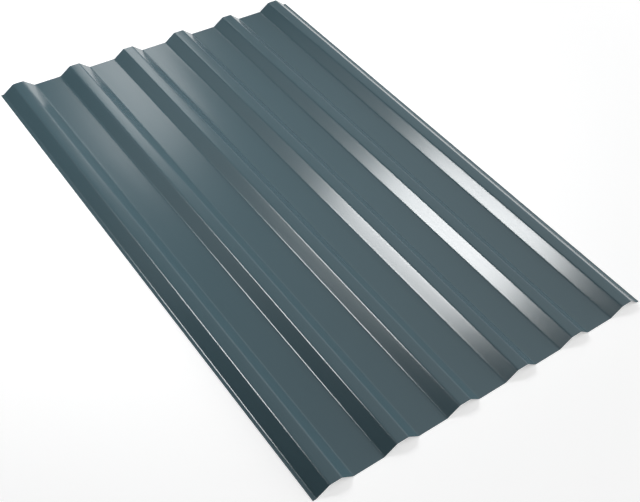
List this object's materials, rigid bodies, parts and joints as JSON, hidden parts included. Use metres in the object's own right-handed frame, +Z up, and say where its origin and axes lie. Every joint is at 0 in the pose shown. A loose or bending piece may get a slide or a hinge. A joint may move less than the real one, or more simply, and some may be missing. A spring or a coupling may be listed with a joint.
{
  "type": "corrugated metal sheet",
  "caption": "Box-rib roofing and cladding sheet: thin painted steel with lengthwise trapezoidal ribs, flat valleys between them, a narrow lip along each side and square-cut ends.",
  "frame": {"origin": "under the middle of the sheet, on the floor plane that its valleys lie on", "axes": "+X across the ribs, +Y along the ribs, +Z up, out of the painted weather side"},
  "size_m": [1.124, 1.76, 0.0285],
  "materials": {
    "topcoat": "satin anthracite blue-grey polyester coil coating on galvanised steel, smooth and clean, with a faint fine grain; the underside carries a light grey backing coat"
  },
  "bodies": {
    "root": {"profiled_sheet": "topcoat"}
  },
  "joints": []
}
